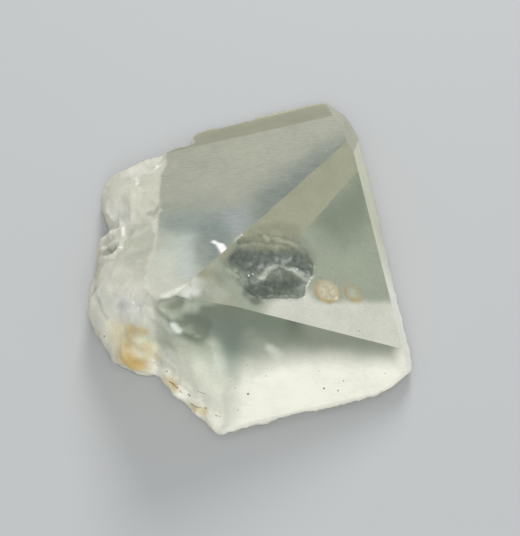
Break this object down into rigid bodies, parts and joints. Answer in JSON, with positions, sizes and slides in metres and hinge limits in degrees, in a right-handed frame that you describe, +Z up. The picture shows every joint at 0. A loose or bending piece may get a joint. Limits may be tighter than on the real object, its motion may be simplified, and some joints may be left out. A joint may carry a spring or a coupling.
{
  "type": "topaz crystal",
  "caption": "Frosted see-through topaz crystal end with flat sloping faces meeting in a low off-centre peak, one broken lumpy side and a flat underside to rest on.",
  "frame": {"origin": "middle of the crystal's box, on the flat underside that it rests on", "axes": "+Z up out of the resting face, +Y along the crystal's longest side, -X towards the broken end"},
  "size_m": [0.0316, 0.039, 0.0123],
  "materials": {
    "topaz": "frosted, see-through, faintly grey-green, with a glossy chip, a pale broken end and an ochre stain"
  },
  "bodies": {
    "root": {"topaz_crystal": "topaz"}
  },
  "joints": []
}
